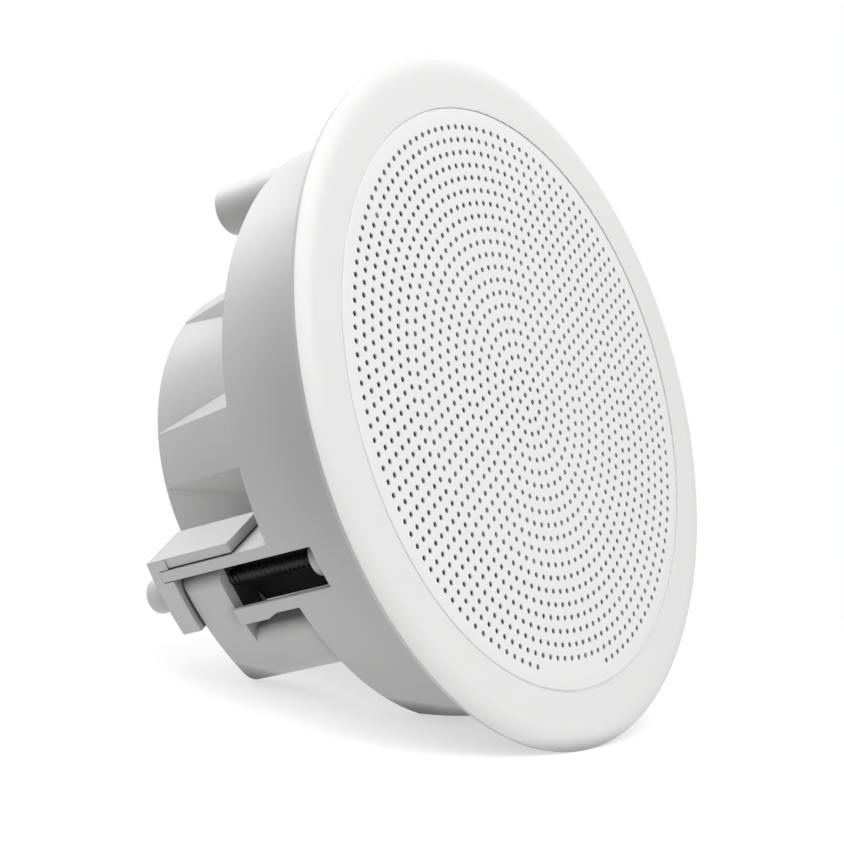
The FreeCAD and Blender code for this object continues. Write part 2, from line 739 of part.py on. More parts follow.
def rounded_back(body):
    """Round the dog's rear edge where it runs round the lobe."""
    edges = []
    for edge in body.Edges:
        box = edge.BoundBox
        if box.YMin > DOG_BACK - 0.01 and box.ZMax > NECK_LEN:
            edges.append(edge)
    return body.makeFillet(DOG_ROUND, edges)


def rounded_relief(body):
    """Round the lobe's outer edge where it faces the skin strip."""
    edges = []
    for edge in body.Edges:
        middle = edge.CenterOfMass
        from_screw = math.hypot(middle.x - SCREW_RING_R, middle.z)
        on_outside = abs(math.hypot(middle.x, middle.z) - DOG_R) < 0.01
        if on_outside and abs(from_screw - RELIEF_R) < 0.01:
            edges.append(edge)
    return body.makeFillet(RELIEF_ROUND, edges)


def clamp_keeper():
    wall = -(CHANNEL_HALF + GUIDE_T)
    arm_low = wall - KEEPER_ARM_GAP
    arm_high = arm_low - KEEPER_ARM_T
    arm_in = CUP_NECK_R - KEEPER_ARM_PAST
    arm_out = CAN_R - KEEPER_ARM_INSET
    arm = block(arm_in, arm_out, KEEPER_BACK - KEEPER_ARM_LEN, KEEPER_BACK, arm_high, arm_low)
    web_in = SCREW_RING_R - KEEPER_REACH
    web = block(web_in, CAN_R, KEEPER_FRONT, KEEPER_BACK, arm_high, KEEPER_LOW)
    web = web.common(rod(CAN_R, KEEPER_FRONT, KEEPER_BACK))
    slot_low = wall - KEEPER_GAP
    slot_high = KEEPER_GAP - CHANNEL_HALF
    slot = block(arm_in, CAN_R + PAST, KEEPER_FRONT - PAST, GUIDE_END, slot_low, slot_high)
    boss_end = KEEPER_BACK + KEEPER_BOSS_LEN
    boss = rod(KEEPER_BOSS_R, KEEPER_BACK - PAST, boss_end, SCREW_RING_R)
    rim = [e for e in boss.Edges if e.BoundBox.YMin > boss_end - 0.01]
    boss = boss.makeFillet(KEEPER_BOSS_ROUND, rim)
    bore = rod(SCREW_R + SCREW_CLEAR, KEEPER_FRONT - PAST, SCREW_TIP + PAST, SCREW_RING_R)
    return joined(arm, [web.cut(slot), boss]).cut(bore)


def terminal_block():
    floor = CUP_BACK - POCKET_DEPTH
    half = POCKET_W / 2
    low = -POCKET_BELOW - POCKET_H / 2
    return block(-half, half, floor, floor + BLOCK_T, low, low + POCKET_H)


def terminal_tabs():
    floor = CUP_BACK - POCKET_DEPTH + BLOCK_T
    tabs = []
    for side in (-0.5, 0.5):
        x = side * TAB_PITCH
        z = -POCKET_BELOW
        tab = block(x - TAB_W / 2, x + TAB_W / 2, floor, floor + TAB_LEN, z - TAB_T / 2, z + TAB_T / 2)
        tabs.append(tab)
    return Part.makeCompound(tabs)


def crossover_board():
    half = BOARD_W / 2
    low = BOARD_Z - BOARD_H / 2
    return block(-half, half, CUP_FLOOR - BOARD_T, CUP_FLOOR, low, low + BOARD_H)


def capacitor():
    y = CUP_FLOOR - BOARD_T - CAP_R
    return Part.makeCylinder(CAP_R, CAP_LEN, V(-CAP_LEN / 2, y, BOARD_Z), V(1, 0, 0))


save("flange", flange())
save("can", can())
save("grille", grille())
save("panel_gasket", ring(GASKET_IN_R, GASKET_OUT_R, -GASKET_T, 0.0))
save("rear_cup", rear_cup())
save("cup_screws", Part.makeCompound(around(cup_screw(), rib_degs())))
save("driver_basket", driver_basket())
save("driver_screws", Part.makeCompound(around(driver_screw(), DRIVER_SCREW_DEGS)))
save("cone", cone())
save("surround", surround())
save("spider", spider())
winding_back = MAGNET_FRONT + WINDING_BEHIND
save("coil_former", ring(COIL_R, FORMER_R, CONE_BACK - FORMER_PROUD, winding_back + FORMER_PAST))
save("coil_winding", ring(FORMER_R, WINDING_R, BASKET_BACK - WINDING_AHEAD, winding_back))
save("top_plate", ring(WINDING_R + GAP_OUT, MAGNET_R - PLATE_INSET, BASKET_BACK, MAGNET_FRONT))
save("magnet", ring(WINDING_R + MAGNET_GAP, MAGNET_R, MAGNET_FRONT, YOKE_FRONT))
save("yoke", yoke())
post_head = rod(POST_HEAD_R, YOKE_BACK, YOKE_BACK + POST_HEAD_T)
save("tweeter_post", joined(rod(POST_R, TWEETER_BACK, YOKE_BACK), [post_head]))
save("tweeter_housing", tweeter_housing())
save("tweeter_dome", tweeter_dome())
save("crossover_board", crossover_board())
save("capacitor", capacitor())
save("terminal_block", terminal_block())
save("terminal_tabs", terminal_tabs())
for side, deg in CLAMPS.items():
    save("clamp_screw_" + side, placed(clamp_screw(), deg))
    save("clamp_nut_" + side, placed(clamp_nut(), deg))
    save("clamp_dog_" + side, placed(clamp_dog(), deg))
    save("clamp_keeper_" + side, placed(clamp_keeper(), deg))
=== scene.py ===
import json
import math

import bmesh
import bpy
from mathutils import Matrix, Vector
from mathutils.geometry import delaunay_2d_cdt


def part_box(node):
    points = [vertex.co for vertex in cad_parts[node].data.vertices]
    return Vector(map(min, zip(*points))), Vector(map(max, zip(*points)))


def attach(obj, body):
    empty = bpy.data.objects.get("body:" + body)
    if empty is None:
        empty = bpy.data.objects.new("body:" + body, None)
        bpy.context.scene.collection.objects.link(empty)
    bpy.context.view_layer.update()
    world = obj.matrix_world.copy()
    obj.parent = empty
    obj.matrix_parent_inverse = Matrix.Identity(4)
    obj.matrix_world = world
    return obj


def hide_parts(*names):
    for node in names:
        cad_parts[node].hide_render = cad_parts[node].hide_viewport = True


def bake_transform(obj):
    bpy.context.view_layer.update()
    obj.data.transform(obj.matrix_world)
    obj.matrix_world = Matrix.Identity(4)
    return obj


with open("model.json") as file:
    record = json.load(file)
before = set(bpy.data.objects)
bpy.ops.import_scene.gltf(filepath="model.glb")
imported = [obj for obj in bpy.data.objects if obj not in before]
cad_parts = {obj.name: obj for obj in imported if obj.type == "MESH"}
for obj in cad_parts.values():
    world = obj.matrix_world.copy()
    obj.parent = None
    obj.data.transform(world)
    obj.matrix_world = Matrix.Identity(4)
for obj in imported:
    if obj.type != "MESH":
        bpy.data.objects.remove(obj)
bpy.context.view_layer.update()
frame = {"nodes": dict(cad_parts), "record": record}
nodes = frame["nodes"]

# Metres, in the CAD frame: the speaker's axis is Y, the front faces -Y, Z is up.
MM = 0.001
CLAMPS = ("top", "left", "right")
SHARP_DEG = 30.0        # edges sharper than this are shaded crisp
WELD = 0.001 * MM

# Camera, matched to the photograph
CAMERA_AT = Vector((-0.63316, -0.38203, -0.11580))
CAMERA_RIGHT = Vector((0.56396, -0.80832, -0.16904))
CAMERA_UP = Vector((-0.03076, -0.22511, 0.97385))
CAMERA_LENS = 101.7
CAMERA_SENSOR = 36.0

# Stage, in the photograph's own upright: the speaker leans back on its flange and lower clamps
FLOOR_AT = Vector((0.0, -1.4, -111.35)) * MM
FLOOR_UP = Vector((0.0, -0.4415, 0.8973))
FLOOR_R = 0.9
FLOOR_STEPS = 96
FLOOR_FADE = (0.16, 0.42)
FLOOR_WHITE = 0.3
FLOOR_GLOW = 0.87       # brightens the floor where it is seen, in the open
# Painted contact shadow: the glow is dimmed to this level near the speaker
FLOOR_DIM = 0.58        # and where the speaker comes close to it
# Painted bounce light: the floor's glow lights the speaker from below, though the floor is no lamp
FLOOR_BOUNCE = 0.33     # brightens the light that it throws up
CONTACT_REACH = 45.0 * MM
SKY_LEVEL = 0.04
LAMP_TARGET = Vector((0.0, 0.03, 0.0))
LAMP_DISTANCE = 1.2
LAMP_SIZE = 0.9

# Perforated sheet of the grille
HOLE_PITCH = 4.15 * MM
HOLE_R = 0.875 * MM
HOLE_BEVEL = 0.12 * MM
HOLE_SIDES = 12
HOLE_RINGS = 21         # round the hole in the middle
INNER_COUNTS = (1, 6)   # holes in the middle and in the first ring
PLAIN_HOLES = 9         # holes left out of the outermost ring, at the bottom
SHEET_T = 0.6 * MM
SHEET_DOME = 0.3 * MM   # middle of the sheet ahead of its edge
SHEET_RIM_T = 1.4 * MM
SHEET_EDGE_R = 0.45 * MM
SHEET_STEPS = 240
EDGE_STEPS = 4
MESH_EPSILON = 1e-9

# White bead that closes the seam round the grille
BEAD_OUT = 0.2 * MM     # grille's edge to the middle of the bead
BEAD_DEPTH = 0.65 * MM  # sheet's edge to the middle of the bead
BEAD_R = 0.3 * MM
BEAD_SIDES = 10

# Clamp screw thread
THREAD_LEAD = 1.75 * MM
THREAD_ROOT_R = 2.0 * MM
THREAD_CREST_R = 2.5 * MM
THREAD_ROOT_W = 1.6 * MM
THREAD_CREST_W = 0.3 * MM
THREAD_SINK = 0.1 * MM  # foot of the ridge below the core's surface
THREAD_STEPS = 28
SHANK_END = 8.0 * MM
CORE_LAP = 0.5 * MM     # core's start inside the shank
TIP_LEN = 1.25 * MM
TIP_R = 1.25 * MM

# Dark sheet behind each clamp, painted shade for the dark cavity, held by the guide wall beside the screw
PAD_T = 1.3 * MM
PAD_BEHIND = 9.3 * MM   # screw's axis to the face of the pad
PAD_SIDES = (-6.9 * MM, 13.0 * MM)
PAD_ENDS = (34.0 * MM, 66.0 * MM)
PAD_EDGE = 0.4 * MM
PAD_EDGE_STEPS = 2

# Dark plate on the front of each dog's barrel, painted shade for the dark cavity, open towards the outside
# for the screw
BARREL_FRONT = 61.9 * MM
SHIM_T = 0.25 * MM
SHIM_SIDES = (-6.2 * MM, 15.0 * MM)
SHIM_IN = 6.6 * MM      # screw's axis to the edge nearest the speaker's axis
SHIM_OUT = 2.3 * MM     # screw's axis to the outer edge
SHIM_SLOT_R = 2.9 * MM
SHIM_STEPS = 16

# Surround and spider, in sectors that reach between the driver's frame and the cone
STRETCH_SECTORS = 16

# Finish
WHITE = (0.80, 0.80, 0.795)
EDGE_R = 0.4 * MM
# Painted shade: the white plastic's colour darkened where other surfaces come close
CREVICE_R = 6.0 * MM
CREVICE_DEPTH = 0.95
CREVICE_SAMPLES = 4
# Painted shade: black band round the rear cup's neck inside the can, where the cavity lies in shade
NECK_SHADE_BLACK = (0.012, 0.012, 0.012)
NECK_SHADE_END = 38.0 * MM
NECK_SHADE_FEATHER = 0.3 * MM
FINE_DETAIL = 3.0
BROAD_DETAIL = 4.0
BROAD_TO_FINE = 40      # size of the broad grain, in fine grains
NOISE_RANGE = (0.3, 0.7)
BUMP_STRENGTH = 0.5


def mesh_object(name, verts, faces):
    """New object from vertices and faces, smooth except across sharp edges."""
    mesh = bpy.data.meshes.new(name)
    mesh.from_pydata(verts, [], faces)
    bm = bmesh.new()
    bm.from_mesh(mesh)
    bmesh.ops.recalc_face_normals(bm, faces=bm.faces)
    for face in bm.faces:
        face.smooth = True
    bm.to_mesh(mesh)
    bm.free()
    mesh.set_sharp_from_angle(angle=math.radians(SHARP_DEG))
    piece = bpy.data.objects.new(name, mesh)
    bpy.context.scene.collection.objects.link(piece)
    return piece


def dress(piece, body, slot, *replaced):
    """Put a new piece on its body in its slot's material, and hide the nodes that it stands for."""
    piece.data.materials.append(MATERIALS[slot])
    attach(piece, body)
    if replaced:
        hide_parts(*replaced)


def welded(node):
    """The CAD node's mesh, with its facets joined at their corners."""
    bm = bmesh.new()
    bm.from_mesh(nodes[node].data)
    bmesh.ops.remove_doubles(bm, verts=bm.verts, dist=WELD)
    return bm


def cut_away(bm, at, way):
    """Take off what lies past a plane, in the way that it faces, and close the cut."""
    cut = bmesh.ops.bisect_plane(
        bm, geom=bm.verts[:] + bm.edges[:] + bm.faces[:], plane_co=at, plane_no=way, clear_outer=True,
    )
    rim = [e for e in cut["geom_cut"] if isinstance(e, bmesh.types.BMEdge)]
    bmesh.ops.holes_fill(bm, edges=rim)


def drained(bm):
    """Vertices and faces of a bmesh, which is then freed."""
    bm.verts.index_update()
    verts = [tuple(v.co) for v in bm.verts]
    faces = [tuple(v.index for v in f.verts) for f in bm.faces]
    bm.free()
    return verts, faces


def around_axis(r, turn, y, centre=(0.0, 0.0)):
    """Point at a radius and a turn from the top, about an axis along Y."""
    return (centre[0] + r * math.sin(turn), y, centre[1] + r * math.cos(turn))


def lathe(profile, steps, centre):
    """Vertices and faces of a closed turned solid from (radius, y) points, from front to back."""
    verts = []
    faces = []
    for r, y in profile:
        verts += [around_axis(r, math.tau * n / steps, y, centre) for n in range(steps)]
    for row in range(len(profile) - 1):
        for n in range(steps):
            a = row * steps + n
            b = row * steps + (n + 1) % steps
            faces.append((a, b, b + steps, a + steps))
    last = (len(profile) - 1) * steps
    faces.append(tuple(range(steps)))
    faces.append(tuple(range(last, last + steps)))
    return verts, faces


def holes_in_ring(ring):
    """Number of holes in a ring: one in the middle, then even numbers, about a pitch apart."""
    if ring < len(INNER_COUNTS):
        return INNER_COUNTS[ring]
    return 2 * math.ceil(math.pi * ring)


def hole_centres():
    """Centres of the grille's holes, in rings about the middle, each counted from six o'clock."""
    centres = []
    for ring in range(HOLE_RINGS + 1):
        count = holes_in_ring(ring)
        for n in range(count):
            off_bottom = min(n, count - n)
            if ring == HOLE_RINGS and off_bottom <= PLAIN_HOLES // 2:
                continue
            turn = math.pi + math.tau * n / count
            centres.append((ring * HOLE_PITCH * math.sin(turn), ring * HOLE_PITCH * math.cos(turn)))
    return centres


def grille_sheet():
    """Domed sheet with bevelled holes and a turned-back rim."""
    low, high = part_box("grille")
    edge_r = high.x
    front = low.y
    foot = high.y
    plate_r = edge_r - SHEET_EDGE_R
    inner_r = edge_r - SHEET_RIM_T

    def front_y(x, z):
        return front + SHEET_DOME * (x * x + z * z) / (plate_r * plate_r)

    # Flat pattern: the holes' edges and the plate's edge, filled with triangles outside the holes
    centres = hole_centres()
    corners = [math.tau * n / HOLE_SIDES for n in range(HOLE_SIDES)]
    flat = []
    loops = []
    for cx, cz in centres:
        start = len(flat)
        r = HOLE_R + HOLE_BEVEL
        flat += [Vector((cx + r * math.sin(t), cz + r * math.cos(t))) for t in corners]
        loops += [(start + n, start + (n + 1) % HOLE_SIDES) for n in range(HOLE_SIDES)]
    bound = len(flat)
    turns = [math.tau * n / SHEET_STEPS for n in range(SHEET_STEPS)]
    flat += [Vector((plate_r * math.sin(t), plate_r * math.cos(t))) for t in turns]
    loops += [(bound + n, bound + (n + 1) % SHEET_STEPS) for n in range(SHEET_STEPS)]
    triangles = delaunay_2d_cdt(flat, loops, [], 0, MESH_EPSILON)[2]
    plate = []
    for triangle in triangles:
        holes = {v // HOLE_SIDES if v < bound else -1 for v in triangle}
        if len(holes) > 1 or holes == {-1}:
            plate.append(tuple(triangle))

    # Front face, then the bevel and the wall of each hole
    verts = [(p.x, front_y(p.x, p.y), p.y) for p in flat]
    faces = list(plate)
    wall = len(verts)
    back = wall + bound
    for depth in (HOLE_BEVEL, SHEET_T):
        for cx, cz in centres:
            for t in corners:
                x = cx + HOLE_R * math.sin(t)
                z = cz + HOLE_R * math.cos(t)
                verts.append((x, front_y(x, z) + depth, z))
    for hole in range(len(centres)):
        for n in range(HOLE_SIDES):
            a = hole * HOLE_SIDES + n
            b = hole * HOLE_SIDES + (n + 1) % HOLE_SIDES
            faces.append((a, b, wall + b, wall + a))
            faces.append((wall + a, wall + b, back + b, back + a))

    # Rounded edge and rim
    edge_y = front_y(plate_r, 0.0)
    rim = []
    for n in range(1, EDGE_STEPS + 1):
        a = math.pi / 2 * n / EDGE_STEPS
        rim.append((plate_r + SHEET_EDGE_R * math.sin(a), edge_y + SHEET_EDGE_R * (1 - math.cos(a))))
    rim += [(edge_r, foot), (inner_r, foot), (inner_r, edge_y + SHEET_T)]
    rows = [bound]
    for r, y in rim:
        rows.append(len(verts))
        verts += [around_axis(r, t, y) for t in turns]
    for near, far in zip(rows, rows[1:]):
        for n in range(SHEET_STEPS):
            m = (n + 1) % SHEET_STEPS
            faces.append((near + n, near + m, far + m, far + n))

    # Back face, the front's triangles again between the holes' ends and the rim
    def behind(v):
        return back + v if v < bound else rows[-1] + v - bound

    faces += [tuple(behind(v) for v in reversed(face)) for face in plate]
    piece = mesh_object("grille_sheet", verts, faces)
    dress(piece, "speaker", "grille_paint", "grille")


def seam_bead():
    """Round bead in the gap between the grille and the flange."""
    low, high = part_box("grille")
    middle = high.x + BEAD_OUT
    depth = low.y + SHEET_DOME + BEAD_DEPTH
    verts = []
    faces = []
    for n in range(SHEET_STEPS):
        turn = math.tau * n / SHEET_STEPS
        for k in range(BEAD_SIDES):
            a = math.tau * k / BEAD_SIDES
            verts.append(around_axis(middle + BEAD_R * math.cos(a), turn, depth + BEAD_R * math.sin(a)))
    for n in range(SHEET_STEPS):
        near = n * BEAD_SIDES
        far = (n + 1) % SHEET_STEPS * BEAD_SIDES
        for k in range(BEAD_SIDES):
            m = (k + 1) % BEAD_SIDES
            faces.append((near + k, near + m, far + m, far + k))
    dress(mesh_object("seam_bead", verts, faces), "speaker", "grille_paint")


def screw_head(node):
    """The CAD screw's head and the start of its shank."""
    bm = welded(node)
    cut_away(bm, (0, SHANK_END, 0), (0, 1, 0))
    return drained(bm)


def thread_ridge(centre, start, end):
    """Right-hand thread as one closed ridge wound round the core."""
    base_r = THREAD_ROOT_R - THREAD_SINK
    section = (
        (base_r, -THREAD_ROOT_W / 2),
        (THREAD_CREST_R, -THREAD_CREST_W / 2),
        (THREAD_CREST_R, THREAD_CREST_W / 2),
        (base_r, THREAD_ROOT_W / 2),
    )
    sides = len(section)
    count = int((end - start) / THREAD_LEAD * THREAD_STEPS)
    verts = []
    faces = []
    for n in range(count + 1):
        turn = math.tau * n / THREAD_STEPS
        y = start + THREAD_LEAD * n / THREAD_STEPS
        verts += [around_axis(r, turn, y + off, centre) for r, off in section]
    for n in range(count):
        for k in range(sides):
            a = sides * n + k
            b = sides * n + (k + 1) % sides
            faces.append((a, b, b + sides, a + sides))
    faces.append(tuple(range(sides)))
    faces.append(tuple(sides * count + k for k in range(sides)))
    return verts, faces


def clamp_screw(side):
    """The CAD screw's head on a core with a real thread."""
    node = "clamp_screw_" + side
    low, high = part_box(node)
    centre = ((low.x + high.x) / 2, (low.z + high.z) / 2)
    tip = high.y
    profile = [
        (THREAD_ROOT_R, SHANK_END - CORE_LAP),
        (THREAD_ROOT_R, tip - TIP_LEN),
        (TIP_R, tip),
    ]
    core = lathe(profile, THREAD_STEPS, centre)
    ridge = thread_ridge(centre, SHANK_END, tip - TIP_LEN - THREAD_ROOT_W / 2)
    verts = []
    faces = []
    for part_verts, part_faces in (screw_head(node), core, ridge):
        start = len(verts)
        verts += part_verts
        faces += [tuple(start + v for v in face) for face in part_faces]
    piece = mesh_object("threaded_screw_" + side, verts, faces)
    dress(piece, "screw_" + side, "black_steel", node)


def clamp_axes(side):
    """Place of a clamp screw's axis, its outward direction and the direction across its channel."""
    low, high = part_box("clamp_screw_" + side)
    screw = Vector(((low.x + high.x) / 2, 0.0, (low.z + high.z) / 2))
    out = screw.normalized()
    return screw, out, Vector((-out.z, 0.0, out.x))


def clamp_shade_sheet(side):
    """Flat dark sheet with soft edges, put there as painted shade."""
    screw, out, across = clamp_axes(side)
    bm = bmesh.new()
    bmesh.ops.create_cube(bm, size=1.0)
    for v in bm.verts:
        depth = PAD_BEHIND + PAD_T if v.co.x < 0 else PAD_BEHIND
        along = PAD_ENDS[0] if v.co.y < 0 else PAD_ENDS[1]
        aside = PAD_SIDES[0] if v.co.z < 0 else PAD_SIDES[1]
        v.co = screw - out * depth + Vector((0.0, along, 0.0)) + across * aside
    bmesh.ops.bevel(
        bm, geom=bm.edges[:], offset=PAD_EDGE, segments=PAD_EDGE_STEPS, profile=0.5, affect="EDGES",
    )
    verts, faces = drained(bm)
    # painted shade: a black sheet where the cavity lies in shade
    dress(mesh_object("clamp_shade_sheet_" + side, verts, faces), "speaker", "foam")


def barrel_shade_plate(side):
    """Thin dark plate with a round slot for the screw, put there as painted shade."""
    screw, out, across = clamp_axes(side)
    low, high = SHIM_SIDES
    half = math.acos(SHIM_OUT / SHIM_SLOT_R)
    outline = [(SHIM_OUT, high), (-SHIM_IN, high), (-SHIM_IN, low), (SHIM_OUT, low)]
    for n in range(SHIM_STEPS + 1):
        a = -half - (math.tau - 2 * half) * n / SHIM_STEPS
        outline.append((SHIM_SLOT_R * math.cos(a), SHIM_SLOT_R * math.sin(a)))
    verts = []
    for y in (BARREL_FRONT - SHIM_T, BARREL_FRONT):
        verts += [screw + out * x + across * z + Vector((0.0, y, 0.0)) for x, z in outline]
    count = len(outline)
    faces = [tuple(range(count)), tuple(range(count, 2 * count))]
    faces += [(n, (n + 1) % count, (n + 1) % count + count, n + count) for n in range(count)]
    # painted shade: a black plate where the cavity lies in shade
    dress(mesh_object("barrel_shade_plate_" + side, verts, faces), "dog_" + side, "foam")


def stretching(node, slot):
    """The node cut into closed sectors, each of which reaches from the driver's frame to the cone."""
    step = math.tau / STRETCH_SECTORS
    for n in range(STRETCH_SECTORS):
        bm = welded(node)
        for turn in (n * step - math.pi / 2, (n + 1) * step + math.pi / 2):
            cut_away(bm, (0, 0, 0), around_axis(1.0, turn, 0.0))
        verts, faces = drained(bm)
        piece = mesh_object("%s_sector_%02d" % (node, n + 1), verts, faces)
        piece.data.materials.append(MATERIALS[slot])
        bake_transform(piece)
        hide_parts(node)


def surface(name, colour, roughness, metallic=0.0, grain=1500.0, tint=0.04, spread=0.06,
            bump=0.02 * MM, edge=0.0, crevice=0.0):
    """Procedural finish: broad grain in colour and roughness, fine relief, soft edges, and painted shade
    darkening crevices.
    """
    material = bpy.data.materials.new(name)
    material.use_nodes = True
    tree = material.node_tree
    shader = tree.nodes["Principled BSDF"]
    shader.inputs["Metallic"].default_value = metallic
    where = tree.nodes.new("ShaderNodeTexCoord").outputs["Object"]
    fine = noise(tree, where, grain, FINE_DETAIL)
    broad = noise(tree, where, grain / BROAD_TO_FINE, BROAD_DETAIL)
    shade = tree.nodes.new("ShaderNodeMix")
    shade.data_type = "RGBA"
    shade.inputs["A"].default_value = (*[c * (1 - tint) for c in colour], 1)
    shade.inputs["B"].default_value = (*[min(1.0, c * (1 + tint)) for c in colour], 1)
    tree.links.new(broad, shade.inputs["Factor"])
    painted = shade.outputs["Result"]
    # painted shade: the colour darkened in crevices and corners
    if crevice:
        painted = painted_crevice_shade(tree, painted, crevice)
    tree.links.new(painted, shader.inputs["Base Color"])
    rough = ranged(tree, broad, roughness - spread, roughness + spread)
    tree.links.new(rough, shader.inputs["Roughness"])
    tree.links.new(bumped(tree, fine, bump, edge), shader.inputs["Normal"])
    return material


def painted_neck_shade(material):
    """Painted shade: the neck of the rear cup inside the can painted black, a band that stands for the
    dark shade in the cavity.
    """
    tree = material.node_tree
    shader = tree.nodes["Principled BSDF"]
    plain = shader.inputs["Base Color"].links[0].from_socket
    where = tree.nodes.new("ShaderNodeTexCoord").outputs["Object"]
    split = tree.nodes.new("ShaderNodeSeparateXYZ")
    tree.links.new(where, split.inputs[0])
    in_shade = tree.nodes.new("ShaderNodeMapRange")
    in_shade.inputs["From Min"].default_value = NECK_SHADE_END
    in_shade.inputs["From Max"].default_value = NECK_SHADE_END - NECK_SHADE_FEATHER
    tree.links.new(split.outputs["Y"], in_shade.inputs["Value"])
    banded = tree.nodes.new("ShaderNodeMix")
    banded.data_type = "RGBA"
    banded.inputs["B"].default_value = (*NECK_SHADE_BLACK, 1)
    tree.links.new(plain, banded.inputs["A"])
    tree.links.new(in_shade.outputs["Result"], banded.inputs["Factor"])
    tree.links.new(banded.outputs["Result"], shader.inputs["Base Color"])
    return material


def painted_crevice_shade(tree, colour, reach):
    """The colour, darkened where other surfaces come close: painted shade in crevices and corners."""
    near = tree.nodes.new("ShaderNodeAmbientOcclusion")
    near.samples = CREVICE_SAMPLES
    near.inputs["Distance"].default_value = reach
    shaded_mix = tree.nodes.new("ShaderNodeMix")
    shaded_mix.data_type = "RGBA"
    shaded_mix.blend_type = "MULTIPLY"
    shaded_mix.inputs["Factor"].default_value = CREVICE_DEPTH
    tree.links.new(colour, shaded_mix.inputs["A"])
    tree.links.new(near.outputs["Color"], shaded_mix.inputs["B"])
    return shaded_mix.outputs["Result"]


def noise(tree, where, scale, detail):
    """Noise of the given scale and detail."""
    node = tree.nodes.new("ShaderNodeTexNoise")
    node.inputs["Scale"].default_value = scale
    node.inputs["Detail"].default_value = detail
    tree.links.new(where, node.inputs["Vector"])
    return node.outputs["Fac"]


def ranged(tree, value, low, high):
    """Noise, spread over the given range."""
    node = tree.nodes.new("ShaderNodeMapRange")
    node.inputs["From Min"].default_value = NOISE_RANGE[0]
    node.inputs["From Max"].default_value = NOISE_RANGE[1]
    node.inputs["To Min"].default_value = low
    node.inputs["To Max"].default_value = high
    tree.links.new(value, node.inputs["Value"])
    return node.outputs["Result"]


def bumped(tree, height, depth, edge):
    """Normal of a surface with a fine relief and, where an edge radius is given, rounded edges."""
    node = tree.nodes.new("ShaderNodeBump")
    if edge:
        soft = tree.nodes.new("ShaderNodeBevel")
        soft.inputs["Radius"].default_value = edge
        tree.links.new(soft.outputs["Normal"], node.inputs["Normal"])
    node.inputs["Strength"].default_value = BUMP_STRENGTH
    node.inputs["Distance"].default_value = depth
    tree.links.new(height, node.inputs["Height"])
    return node.outputs["Normal"]


def moulded(name):
    """White plastic, matt from the mould, with painted shade in its crevices."""
    return surface(name, WHITE, 0.42, grain=2200.0, tint=0.01, edge=EDGE_R, crevice=CREVICE_R)


def make_materials():
    """The record's material slots and the rear cup's plastic with its neck painted black as shade."""
    return {
        "white_plastic": moulded("white_plastic"),
        "neck_shaded_plastic": painted_neck_shade(moulded("neck_shaded_plastic")),
        "grille_paint": surface("grille_paint", (0.84, 0.84, 0.835), 0.45, grain=1200.0, tint=0.01),
        "foam": surface("foam", (0.02, 0.02, 0.02), 0.95, grain=1600.0, tint=0.3, bump=0.3 * MM),
        "screw_steel": surface("screw_steel", (0.5, 0.5, 0.49), 0.32, metallic=1.0, grain=3000.0),
        "black_steel": surface("black_steel", (0.03, 0.03, 0.03), 0.35, metallic=1.0, grain=3000.0),
        "dark_plastic": surface("dark_plastic", (0.03, 0.03, 0.032), 0.5, grain=1800.0, tint=0.15),
        "cone_plastic": surface("cone_plastic", (0.5, 0.5, 0.49), 0.55, grain=900.0, tint=0.05),
        "surround_rubber": surface("surround_rubber", (0.08, 0.08, 0.08), 0.6, grain=1400.0, tint=0.1),
        "spider_cloth": surface("spider_cloth", (0.5, 0.36, 0.14), 0.85, grain=1800.0, bump=0.2 * MM),
        "former_aluminium": surface("former_aluminium", (0.7, 0.7, 0.71), 0.3, metallic=1.0),
        "copper": surface("copper", (0.6, 0.22, 0.08), 0.3, metallic=1.0),
        "motor_steel": surface("motor_steel", (0.45, 0.45, 0.45), 0.35, metallic=1.0),
        "ferrite": surface("ferrite", (0.05, 0.05, 0.055), 0.55, grain=900.0, tint=0.2),
        "dome_cloth": surface("dome_cloth", (0.03, 0.03, 0.035), 0.7, grain=2500.0, tint=0.2),
        "board": surface("board", (0.02, 0.12, 0.04), 0.4, grain=700.0, tint=0.2),
        "cap_sleeve": surface("cap_sleeve", (0.5, 0.34, 0.03), 0.3, tint=0.05),
        "tab_brass": surface("tab_brass", (0.72, 0.66, 0.52), 0.3, metallic=1.0),
        "nut_brass": surface("nut_brass", (0.72, 0.5, 0.2), 0.28, metallic=1.0),
    }


def dress_cad_nodes():
    """Each CAD node in its slot's material, and the rear cup in the one with its neck painted black as
    shade.
    """
    for part in frame["record"]["subparts"]:
        mesh = nodes[part["node"]].data
        mesh.materials.clear()
        mesh.materials.append(MATERIALS[part["material_slot"]])
    nodes["rear_cup"].data.materials[0] = MATERIALS["neck_shaded_plastic"]


def facing(at, way):
    """Placement at a point, with local Z turned the given way."""
    return Matrix.Translation(at) @ way.to_track_quat("Z", "Y").to_matrix().to_4x4()


def add_camera():
    """Camera that sees the speaker as the photograph does."""
    data = bpy.data.cameras.new("camera")
    data.lens = CAMERA_LENS
    data.sensor_width = CAMERA_SENSOR
    camera = bpy.data.objects.new("camera", data)
    back = CAMERA_RIGHT.cross(CAMERA_UP)
    turn = Matrix((CAMERA_RIGHT, CAMERA_UP, back)).transposed()
    camera.matrix_world = Matrix.Translation(CAMERA_AT) @ turn.to_4x4()
    bpy.context.scene.collection.objects.link(camera)
    bpy.context.scene.camera = camera


def add_floor():
    """Round floor under the speaker, part of the stage and not of the model."""
    turns = [math.tau * n / FLOOR_STEPS for n in range(FLOOR_STEPS)]
    verts = [(0.0, 0.0, 0.0)]
    verts += [(FLOOR_R * math.cos(t), FLOOR_R * math.sin(t), 0.0) for t in turns]
    faces = [(0, n + 1, (n + 1) % FLOOR_STEPS + 1) for n in range(FLOOR_STEPS)]
    floor = mesh_object("floor", verts, faces)
    floor.matrix_world = facing(FLOOR_AT, FLOOR_UP)
    floor.data.materials.append(floor_material())


